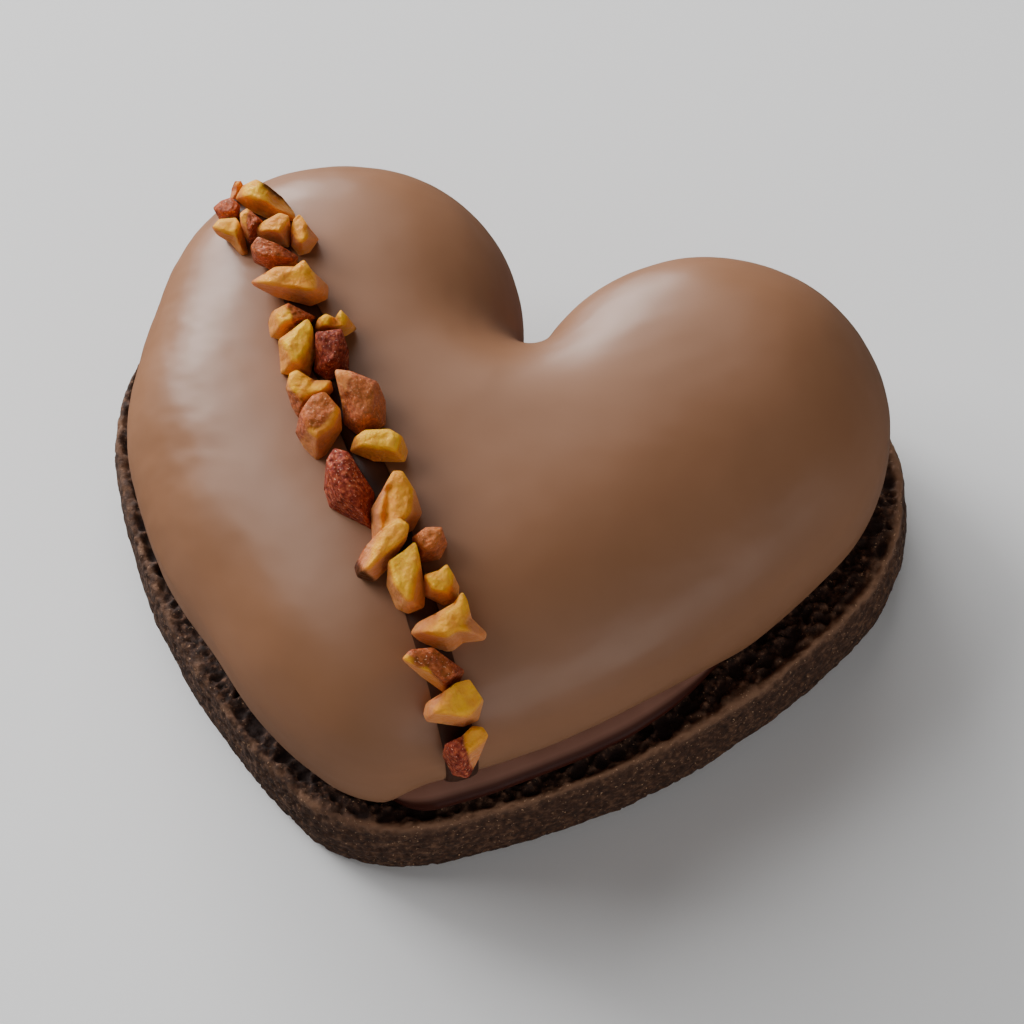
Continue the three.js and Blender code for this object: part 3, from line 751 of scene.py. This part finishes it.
almond = {
    "columns": 128,
    "sideRows": 34,  # from the outline to the middle, on the side that shows
    "bedRows": 5,
    "bedLeast": 0.3,  # share of the outline that the bed starts at
    "rowsMost": 0.97,  # share that the rows run to, short of the last point
    "rowPower": 1.4,  # over 1, the rows gather at the outline
    "pointsPerMm": 8.5,  # picture points in a millimetre
    "cornerRound": 2.5,  # degrees over which the outline's corners are rounded
    "lean": 0.6,  # towards the camera from straight out of the coating
    "sink": 0.9,  # how far the bed goes down into the chocolate
    "bedPower": 6,  # how quickly the bed drops in from the outline
    "liftLeast": 0.1,  # share of the height that the outline has at the near side
    "liftMore": 0.75,  # and what the far side has beyond that
    "liftRange": (-0.5, 0.8),  # shares of the reach, near to far
    "frontSlope": 2.4,  # rise of the sides for every millimetre in from the outline, at the near side
    "flankSlope": 3.6,  # and at the left and right
    "bevel": 0.35,  # rounding between the side faces, in millimetres
    "tilts": 3,  # broken faces on the upper side
    "tiltMost": 0.3,
    "tiltLeast": 0.1,  # as a share of the most
    "tiltStarts": (-0.1, 0.4),  # shares of the reach that they start between
    "edgeRound": 0.1,  # between the faces, as a share of the height
    "dent": (0.36, 2.2),
    "rough": (0.26, 1.0),
    "grooveDepth": 0.9,
    "grooveWidth": 0.45,
    "wrinkle": 0.13,
    "wrinkleSize": 0.55,
    "wrinkleRun": 0.8,  # share of the length taken out of the pattern, so that wrinkles run lengthwise
    "fade": 0.15,  # share of the reach over which the relief comes in
    "apart": 40,  # from one piece's noise to the next's
    "stainSize": 1.8,
    "toastStray": 0.2,
    "paintedSideShade": 0.75,  # painted shade: the side faces are browner
    "sideShadeFull": 0.3,
    "patchStray": 0.25,
    "patchSpan": 2.1,
    "patchSoft": 0.1,
}

# The almond pieces from the back of the line to the front. Corners are right and up from a piece's middle, in
# picture points. Toast runs from pale 0 to brown 1; painted shade on the side faces adds to it. Skin and char
# give the direction in the picture that they lie in, in degrees from right towards up, how much of the piece
# they take, and how strong they are. A groove runs between two points.
almondPieces = {
    1: {"corners": [(-11, -10), (-9, 0), (-5, 7), (1, 7), (4, 0), (-1, -10)], "toast": 0.25},
    2: {"corners": [(-29, 0), (-21, 12), (-8, 18), (3, 12), (17, 1), (29, -14), (30, -22), (8, -22),
                    (-16, -11)], "toast": 0.0, "char": (40, 0.3, 0.85)},
    3: {"corners": [(-13, 10), (-5, 17), (5, 20), (14, 12), (12, -1), (-7, -1)],
        "toast": 0.6, "skin": (30, 0.85, 0.9)},
    4: {"corners": [(-17, 10), (-10, 18), (7, 19), (13, 9), (18, -16), (11, -17), (0, -4), (-12, 3)],
        "toast": 0.15},
    5: {"corners": [(-13, 16), (-6, 21), (10, 8), (4, -8), (-4, -13), (-12, -1)],
        "toast": 0.5, "skin": (0, 0.66, 0.9)},
    6: {"corners": [(-21, 2), (-14, 8), (3, 17), (12, 14), (15, -5), (11, -16), (-7, -10), (-19, -5)],
        "toast": 0.5},
    7: {"corners": [(-13, 19), (-7, 24), (2, 11), (11, 0), (2, -13), (-8, -16), (-16, -6), (-15, 10)],
        "toast": 0.4},
    8: {"corners": [(-21, 10), (-14, 20), (7, 12), (25, 1), (23, -8), (-3, -11), (-18, -4)],
        "toast": 0.6, "skin": (130, 0.78, 0.85)},
    9: {"corners": [(-44, 4), (-28, 13), (-18, 19), (0, 19), (9, 26), (17, 15), (32, 1), (31, -11), (15, -18),
                    (-19, -9)], "toast": 0.45},
    10: {"corners": [(-25, -4), (-21, 6), (-5, 14), (21, 1), (11, -10), (-11, -21), (-23, -18)],
         "toast": 0.05, "skin": (25, 0.5, 0.9)},
    # Piece 11's char at its right end is partly painted shadow under that end.
    11: {"corners": [(-23, -6), (-19, 5), (-11, 10), (-2, 6), (3, 14), (10, 7), (18, -4), (7, -11),
                     (-16, -10)], "toast": 0.0, "char": (-20, 0.1, 0.8)},
    12: {"corners": [(-13, 12), (0, 21), (15, 33), (20, 24), (22, 0), (17, -22), (-11, -20)], "toast": 0.0},
    13: {"corners": [(-19, 21), (6, 24), (12, 4), (12, -16), (-7, -25), (-21, -16)],
         "toast": 0.6, "skin": (0, 1.0, 1.0), "char": (0, 1.0, 0.25)},
    14: {"corners": [(-19, 4), (-15, 18), (-8, 21), (8, 11), (24, 11), (26, 1), (11, -13), (-7, -25),
                     (-14, -13)], "toast": 0.2, "skin": (240, 0.36, 0.7)},
    15: {"corners": [(-26, 28), (-10, 26), (15, 16), (22, -2), (22, -24), (0, -37), (-17, -24), (-20, 0)],
         "toast": 0.8, "skin": (-20, 0.74, 0.65)},
    16: {"corners": [(-19, -4), (-14, 16), (-3, 31), (9, 35), (24, 18), (25, -1), (10, -24), (1, -30),
                     (-11, -18)], "toast": 0.6, "skin": (120, 0.5, 0.75)},
    17: {"corners": [(-26, -6), (-21, 7), (-11, 14), (12, 15), (24, 8), (29, -6), (26, -16), (-3, -15)],
         "toast": 0.0},
    18: {"corners": [(-14, 24), (-7, 35), (7, 31), (17, 14), (30, -6), (31, -44), (12, -34), (-12, -20),
                     (-17, -3)], "toast": 0.7, "skin": (0, 1.0, 1.0)},
    19: {"corners": [(-27, -4), (-16, 14), (-6, 32), (3, 32), (15, 13), (21, -7), (13, -23), (-11, -35),
                     (-25, -37)], "toast": 0.45, "groove": ((-9, 15), (-14, -30))},
    20: {"corners": [(-26, -14), (-16, 4), (0, 21), (16, 32), (26, 25), (23, 11), (6, -15), (-7, -28),
                     (-23, -24)], "toast": 0.25, "skin": (160, 0.2, 0.7), "char": (215, 0.07, 0.9)},
    21: {"corners": [(-23, 6), (-10, 16), (5, 16), (10, 0), (3, -14), (-19, -18)],
         "toast": 0.7, "skin": (0, 1.0, 0.65)},
    22: {"corners": [(-18, 18), (-4, 27), (7, 37), (11, 22), (16, -10), (15, -25), (0, -31), (-11, -26),
                     (-20, -5)], "toast": 0.12},
    23: {"corners": [(-17, 11), (-4, 15), (4, 21), (10, 11), (15, 0), (14, -14), (1, -18), (-18, -9)],
         "toast": 0.15},
    24: {"corners": [(-38, -5), (-31, 5), (-15, 13), (4, 24), (10, 35), (15, 26), (19, 9), (33, -5),
                     (31, -12), (11, -14), (1, -22), (-9, -22), (-28, -14)], "toast": 0.25},
    25: {"corners": [(-29, 10), (-21, 19), (0, 21), (29, -1), (25, -10), (10, -22), (-11, -7)],
         "toast": 0.15, "skin": (38, 0.58, 0.9)},
    26: {"corners": [(-28, -10), (-25, 1), (-11, 10), (3, 20), (15, 23), (28, 3), (23, -16), (9, -22),
                     (-25, -17)], "toast": 0.2},
    27: {"corners": [(-20, 7), (-5, 14), (5, 24), (15, 23), (20, 15), (11, -8), (1, -27), (-13, -24),
                     (-23, -5)], "toast": 0.35, "skin": (195, 0.48, 1.0)},
}


# The corner points of a node's solid, in the plan.
def nodePoints(node):
    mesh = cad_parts[node].data
    points = np.empty(len(mesh.vertices) * 3, np.float32)
    mesh.vertices.foreach_get("co", points)
    return points.reshape(-1, 3).astype(float) * 1000 - planOrigin


# How far an outline with these corners reaches in each direction: where a ray from the middle crosses its
# edges, then rounded by a bell-shaped mean over the turn.
def outlineReach(corners, turn):
    edge = np.roll(corners, -1, 0) - corners
    ray = np.stack([np.cos(turn), np.sin(turn)], -1)
    cross = lambda a, b: a[..., 0] * b[..., 1] - a[..., 1] * b[..., 0]
    slant = cross(ray[:, None], edge[None])
    slant = np.where(slant == 0, 1e-9, slant)
    reach = cross(corners, edge)[None] / slant
    along = cross(corners[None], ray[:, None]) / slant
    reach = np.where((reach > 0) & (along > -1e-6) & (along < 1 + 1e-6), reach, 0).max(1)
    step = np.degrees(turn[1] - turn[0])
    offsets = np.arange(-6, 7)
    weights = np.exp(-((offsets * step / almond["cornerRound"]) ** 2) / 2)
    return sum(w * np.roll(reach, k) for w, k in zip(weights / weights.sum(), offsets))


# The smaller of two values, rounded where they meet.
def softLess(a, b, width):
    near = np.maximum(width - np.abs(a - b), 0) / width
    return np.minimum(a, b) - near * near * width / 4


# How far points lie from a straight line between two ends: to the nearest point on it.
def lineDistance(place, start, end):
    run = end - start
    along = np.clip((place - start) @ run / (run @ run), 0, 1)
    return np.linalg.norm(place - start - along[..., None] * run, axis=-1)


# How far points lie in from an outline: the least distance to its edges, rounded between neighbours.
def edgeDistance(corners, across, upward):
    place = np.stack([across, upward], -1)
    least = np.full(across.shape, np.inf)
    for start, end in zip(corners, np.roll(corners, -1, 0)):
        least = softLess(least, lineDistance(place, start, end), almond["bevel"])
    return np.maximum(least, 0)


# An almond piece, made over its outline in the picture and as deep as its solid. Seen from the camera it
# rises from the coating at its near side, up the front sides to tilted broken faces. Behind, it goes down
# into the chocolate.
def makeAlmond(number, coatPoints, coatNormals, axes, material):
    name = f"almond_{number:02d}"
    looks = almondPieces[number]
    solid = nodePoints(name)
    centre = (solid.min(0) + solid.max(0)) / 2
    outward = coatNormals[np.argmin(((coatPoints - centre) ** 2).sum(1))]
    height = np.ptp(solid @ outward)
    right, up, back = axes
    lying = unit(outward + almond["lean"] * back)
    turn = np.arange(almond["columns"]) / almond["columns"] * 2 * math.pi
    corners = np.array(looks["corners"]) / almond["pointsPerMm"]
    reach = outlineReach(corners, turn)
    bedRows = np.linspace(almond["bedLeast"], almond["rowsMost"], almond["bedRows"])
    sideRows = 1 - np.linspace(0, almond["rowsMost"], almond["sideRows"]) ** almond["rowPower"]
    inward = np.concatenate([bedRows, sideRows])
    front = (np.arange(len(inward)) >= almond["bedRows"])[:, None]
    across = inward[:, None] * reach * np.cos(turn)
    upward = inward[:, None] * reach * np.sin(turn)
    place = centre + across[..., None] * right + upward[..., None] * up
    dice = np.random.default_rng(100 + number)
    deep = height / (back @ lying)
    bed = -(across * (right @ lying) + upward * (up @ lying)) / (back @ lying) - deep / 2
    picture = np.stack([across / np.abs(across).max(), upward / np.abs(upward).max()])
    far = smoothStep(picture[1], *almond["liftRange"])
    lift = almond["liftLeast"] + almond["liftMore"] * far
    flank = picture[0] ** 2
    slope = almond["frontSlope"] * (1 - flank) + almond["flankSlope"] * flank
    rise = lift + slope * edgeDistance(corners, across, upward) / deep
    level = np.ones_like(across)
    size = reach.max()
    for _ in range(almond["tilts"]):
        heading = dice.uniform(0, 2 * math.pi)
        tilt = dice.uniform(almond["tiltLeast"], 1) * almond["tiltMost"]
        start = dice.uniform(*almond["tiltStarts"])
        beyond = (across * math.cos(heading) + upward * math.sin(heading)) / size - start
        level = softLess(level, 1 - tilt * beyond, almond["edgeRound"])
    share = softLess(level, rise, 2 * almond["edgeRound"])
    noisy = place + almond["apart"] * number
    noise = roughNoise(noisy, almond["stainSize"], 3, 5)

    # Where a look lies: past a border across its direction, that noise makes uneven.
    def patch(look):
        if look not in looks:
            return np.zeros_like(across)
        angle, part, strength = looks[look]
        heading = math.radians(angle)
        way = picture[0] * math.cos(heading) + picture[1] * math.sin(heading)
        past = way + almond["patchStray"] * noise - (1 - almond["patchSpan"] * part)
        return strength * smoothStep(past, -almond["patchSoft"], almond["patchSoft"])

    skin, char = patch("skin"), patch("char")
    moved = relief(almond["dent"], noisy, 2, 11) + relief(almond["rough"], noisy, 3, 15)
    spread = np.stack([across.ravel(), upward.ravel()])
    long = np.linalg.eigh(spread @ spread.T)[1][:, 1]
    lengthwise = (across * long[0] + upward * long[1])[..., None] * (long[0] * right + long[1] * up)
    drawnOut = noisy - almond["wrinkleRun"] * lengthwise
    ridges = 1 - 2 * np.abs(roughNoise(drawnOut, almond["wrinkleSize"], 2, 19))
    moved = moved + almond["wrinkle"] * skin * ridges
    if "groove" in looks:
        first, last = np.array(looks["groove"]) / almond["pointsPerMm"]
        off = lineDistance(np.stack([across, upward], -1), first, last)
        moved = moved - almond["grooveDepth"] * np.exp(-(off / almond["grooveWidth"]) ** 2)
    moved *= smoothStep(1 - inward, 0, almond["fade"])[:, None]
    below = bed + deep * lift * inward[:, None] ** almond["bedPower"] - almond["sink"]
    depth = np.where(front, bed + deep * share + moved, below)
    grid = place + depth[..., None] * back
    middleFront = centre + back * depth[-1].mean()
    middleBed = centre + back * (bed.mean() - almond["sink"])
    piece = closedMesh(f"almondPiece{number:02d}", grid, middleBed, middleFront)
    # Painted shade: the side faces are browner.
    side = smoothStep(level - rise, 0, almond["sideShadeFull"])
    toast = looks["toast"] + almond["toastStray"] * noise + almond["paintedSideShade"] * side
    for look, values in {"toast": np.clip(toast, 0, 1), "skin": skin, "char": char}.items():
        addAttribute(piece, look, np.append(values, [0, values[-1].mean()]))
    handOver(piece, [name], material)


camera = {
    "aim": np.array([3.1, -11.25, 16.0]),
    "azimuth": 24.16,
    "elevation": 59.4,
    "roll": 5.27,
    "distance": 600.3,
    "lens": 184.5,
    "clip": (0.01, 20.0),  # metres
}


# The camera's axes: right is level, up is across it and the view, and both are turned by the roll.
def cameraTurn():
    azimuth, elevation, roll = np.radians([camera["azimuth"], camera["elevation"], camera["roll"]])
    level = np.cos(elevation)
    back = np.array([np.sin(azimuth) * level, -np.cos(azimuth) * level, np.sin(elevation)])
    right = np.array([np.cos(azimuth), np.sin(azimuth), 0])
    up = np.cross(back, right)
    return np.stack([
        np.cos(roll) * right - np.sin(roll) * up, np.sin(roll) * right + np.cos(roll) * up, back])


# The photo's camera: back along its axis from the aim by the distance.
def makeCamera():
    axes = cameraTurn()
    data = bpy.data.cameras.new("photoCamera")
    data.lens = camera["lens"]
    data.clip_start, data.clip_end = camera["clip"]
    viewer = addObject("photoCamera", data)
    place = Matrix(axes.T.tolist()).to_4x4()
    place.translation = Vector((camera["aim"] + planOrigin + axes[2] * camera["distance"]) / 1000)
    viewer.matrix_world = place
    bpy.context.scene.camera = viewer
    return axes


studio = {
    "floorSize": 0.7,  # metres
    "floorColour": (250, 250, 250),
    "floorRoughness": 0.7,
    "skyStrength": 0.08,
    "lightDistance": 0.9,
    # Where each light stands, in degrees clockwise from the back and up from the floor, its size in metres,
    # and the light that it sheds on the doughnut.
    "lights": {
        "left": {"heading": 313, "elevation": 10, "size": (0.6, 0.35), "shed": 3.6},
        "window": {"heading": 289, "elevation": 26, "size": (0.34, 0.28), "shed": 1.9},
        "leftAbove": {"heading": 272, "elevation": 49, "size": (0.45, 0.45), "shed": 1.25},
        "back": {"heading": 331, "elevation": 43, "size": (0.7, 0.7), "shed": 1.05},
        "right": {"heading": 121, "elevation": 9, "size": (0.8, 0.5), "shed": 0.95},
        "front": {"heading": 150, "elevation": 38, "size": (1.0, 0.8), "shed": 0.43},
    },
}


# A pale floor, a soft even sky and large soft lights that face the doughnut.
def makeStudio():
    half = studio["floorSize"] / 2
    mesh = bpy.data.meshes.new("floor")
    corners = [(-half, -half, 0), (half, -half, 0), (half, half, 0), (-half, half, 0)]
    mesh.from_pydata(corners, [], [(0, 1, 2, 3)])
    floor = addObject("floor", mesh)
    material, _, shader = newMaterial("paleFloor", Roughness=studio["floorRoughness"])
    shader.inputs["Base Color"].default_value = screenColour(*studio["floorColour"])
    mesh.materials.append(material)
    floor.visible_glossy = False  # the chocolate's sheen shows the lights alone
    world = bpy.data.worlds.new("softSky")
    world.use_nodes = True
    sky = world.node_tree.nodes["Background"]
    sky.inputs["Color"].default_value = (1, 1, 1, 1)
    sky.inputs["Strength"].default_value = studio["skyStrength"]
    bpy.context.scene.world = world
    for name, light in studio["lights"].items():
        data = bpy.data.lights.new(name, "AREA")
        data.shape = "RECTANGLE"
        data.size, data.size_y = light["size"]
        data.energy = light["shed"] * math.pi * studio["lightDistance"] ** 2
        lamp = addObject(name, data)
        heading, elevation = math.radians(light["heading"]), math.radians(light["elevation"])
        level = math.cos(elevation)
        way = Vector((math.sin(heading) * level, math.cos(heading) * level, math.sin(elevation)))
        lamp.location = way * studio["lightDistance"]
        lamp.rotation_euler = (-lamp.location).to_track_quat("-Z", "Y").to_euler()
    print("studio:", len(studio["lights"]), "lights")


cameraAxes = makeCamera()
makeStudio()
coatPoints, coatNormals = makeCoat()
makeLine()
makeFilling()
makeBread()
almondMaterial = roastedAlmond()
for number in almondPieces:
    makeAlmond(number, coatPoints, coatNormals, cameraAxes, almondMaterial)
print("almonds:", len(almondPieces), "pieces")
